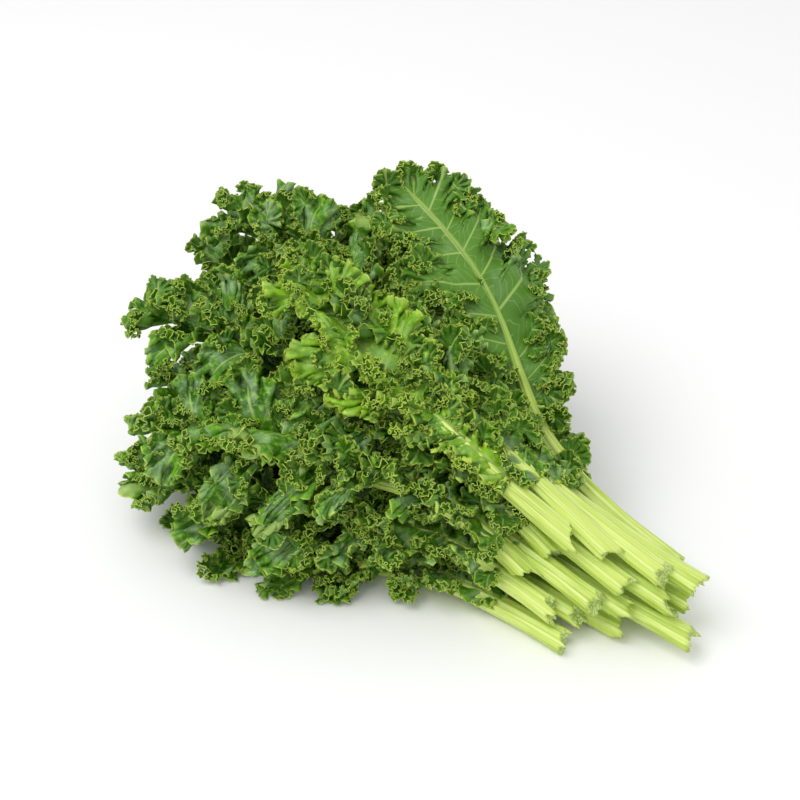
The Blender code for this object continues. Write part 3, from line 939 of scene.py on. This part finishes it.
# Kale stalk, grown: a smooth waxy skin over watery tissue. Fine fibres run its length as paler and
# greener streaks; the cut ends show wet, fibrous pith. Sizes are in metres. The real fibres are about
# 0.4 mm across and the pith's cells 0.3 mm, which is too fine to show, so both are drawn coarser.
kaleStalk = {
    "shade": "#a3bf3a",
    "skin": "#c9df6a",
    "streak": "#e3f19a",
    "streakAmount": 0.75,
    "midrib": "#8fb24c",
    "pith": "#d3e393",
    "pithWet": "#8fae4a",
    "roughness": 0.36,
    "ior": 1.42,
    "fibre": 0.0011,  # across one fibre
    "fibreDepth": 0.0005,
    "bundle": 0.00393,  # across a bundle of them
    "stretch": 0.035,  # the fibres are this much finer across than along
    "mottle": 0.03846,
    "pithGrain": 0.001111,
}


def juicyStalk():
    look = kaleStalk
    material, tree = newMaterial("juicyStalk")
    lengthwise, aroundX, aroundY, onBlade, cut = [
        addNode(tree, "Attribute", {"attribute_name": key}, out="Fac")
        for key in ("lengthwise", "aroundX", "aroundY", "onBlade", "cut")
    ]
    around = [addNode(tree, "Math", times, [value, bunch["stemRadius"]]) for value in (aroundX, aroundY)]
    slow = addNode(tree, "Math", times, [lengthwise, look["stretch"]])
    fibres = addNode(tree, "CombineXYZ", None, [*around, slow])
    streaks = addNode(tree, "TexNoise", Vector=fibres, Scale=1 / look["fibre"], Detail=3.0)
    wide = addNode(tree, "TexNoise", Vector=fibres, Scale=1 / look["bundle"], Detail=2.0)
    where = addNode(tree, "TexCoord", out="Object")
    broad = addNode(tree, "TexNoise", Vector=where, Scale=1 / look["mottle"], Detail=2.0)
    speck = addNode(tree, "TexNoise", Vector=where, Scale=1 / look["pithGrain"], Detail=2.0)
    mottled = addNode(tree, "MapRange", smooth, [broad, 0.35, 0.65])
    bundled = addNode(tree, "MapRange", smooth, [wide, 0.40, 0.62])
    streaked = addNode(tree, "MapRange", smooth, [streaks, 0.42, 0.66, 0.0, look["streakAmount"]])
    upBlade = addNode(tree, "MapRange", smooth, [onBlade, 0.0, 0.5])
    wet = addNode(tree, "MapRange", smooth, [speck, 0.35, 0.6])
    skin = linear(look["shade"])
    for amount, colour in [(mottled, "skin"), (bundled, "skin"), (streaked, "streak"), (upBlade, "midrib")]:
        skin = addNode(tree, "Mix", colours, {0: amount, 6: skin, 7: linear(look[colour])}, 2)
    pith = addNode(tree, "Mix", colours, {0: wet, 6: linear(look["pithWet"]), 7: linear(look["pith"])}, 2)
    skin = addNode(tree, "Mix", colours, {0: cut, 6: skin, 7: pith}, 2)
    bump = addNode(tree, "Bump", Height=streaks, Strength=0.35, Distance=look["fibreDepth"])
    waxy = {"Base Color": skin, "Roughness": look["roughness"], "IOR": look["ior"], "Normal": bump}
    shader = addNode(tree, "BsdfPrincipled", None, waxy)
    addNode(tree, "OutputMaterial", Surface=shader)
    return material


# The surface: matt white board, which gives the eye nothing but the soft shadow.
board = {"colour": "#f9f9f9", "roughness": 0.9, "size": 6.0}


def paleFloor():
    material, tree = newMaterial("paleFloor")
    matt = {"Base Color": linear(board["colour"]), "Roughness": board["roughness"]}
    shader = addNode(tree, "BsdfPrincipled", None, matt)
    addNode(tree, "OutputMaterial", Surface=shader)
    return material


studio = {
    "azimuth": 47,
    "elevation": 36,
    "distance": 0.90,
    "lens": 70,
    "sensor": 36,
    "aimZ": 0.05,
    "aimRight": 0.006,
    "aimUp": -0.004,
    "skyColour": "#ffffff",
    "sky": 0.82,
    "keyLamp": {"azimuth": -10, "elevation": 62, "distance": 1.6, "size": 1.0, "power": 11.5},
}


def towards(azimuth, elevation):
    a, e = math.radians(azimuth), math.radians(elevation)
    return Vector((math.sin(a) * math.cos(e), -math.cos(a) * math.cos(e), math.sin(e)))


def addCamera():
    data = bpy.data.cameras.new("camera")
    data.lens = studio["lens"]
    data.sensor_width = studio["sensor"]
    camera = bpy.data.objects.new("camera", data)
    bpy.context.scene.collection.objects.link(camera)
    back = towards(studio["azimuth"], studio["elevation"])
    aim = Vector((bunch["centre"][0], bunch["centre"][1], studio["aimZ"]))
    right = Vector((-back.y, back.x, 0)).normalized()
    aim += studio["aimRight"] * right + studio["aimUp"] * back.cross(right)
    camera.location = aim + back * studio["distance"]
    camera.rotation_euler = (-back).to_track_quat("-Z", "Y").to_euler()
    bpy.context.scene.camera = camera


def addKeyLamp():
    lamp = studio["keyLamp"]
    data = bpy.data.lights.new("keyLamp", "AREA")
    data.size = lamp["size"]
    data.energy = lamp["power"]
    softbox = bpy.data.objects.new("keyLamp", data)
    bpy.context.scene.collection.objects.link(softbox)
    back = towards(lamp["azimuth"], lamp["elevation"])
    softbox.location = back * lamp["distance"]
    softbox.rotation_euler = (-back).to_track_quat("-Z", "Y").to_euler()


def addStudio():
    size = board["size"] / 2
    corners = np.array([(-size, -size, 0), (size, -size, 0), (size, size, 0), (-size, size, 0)], float)
    floor = bpy.data.objects.new("floor", meshFrom("floor", corners, np.array([[0, 1, 2, 3]])))
    bpy.context.scene.collection.objects.link(floor)
    floor.data.materials.append(paleFloor())
    world = bpy.data.worlds.new("softSky")
    bpy.context.scene.world = world
    world.use_nodes = True
    sky = world.node_tree.nodes["Background"]
    sky.inputs["Color"].default_value = linear(studio["skyColour"])
    sky.inputs["Strength"].default_value = studio["sky"]
    addKeyLamp()
    bpy.context.scene.view_settings.view_transform = "Standard"
    bpy.context.scene.view_settings.look = "None"


def main():
    addCamera()
    addStudio()
    print("studio ready")
    materials = {
        "blade": waxyKaleLeaf("waxyKaleLeaf", kaleLeaf),
        "young": waxyKaleLeaf("youngKaleLeaf", youngLeaf),
        "stalk": juicyStalk(),
    }
    print("materials ready")
    for seed, name in enumerate([*bunch["leaves"], *bunch["topLeaves"]]):
        buildLeaf(name, 100 + seed, materials)
        buildStalk(name, 300 + seed, materials)
        print("built the leaf", name)


main()
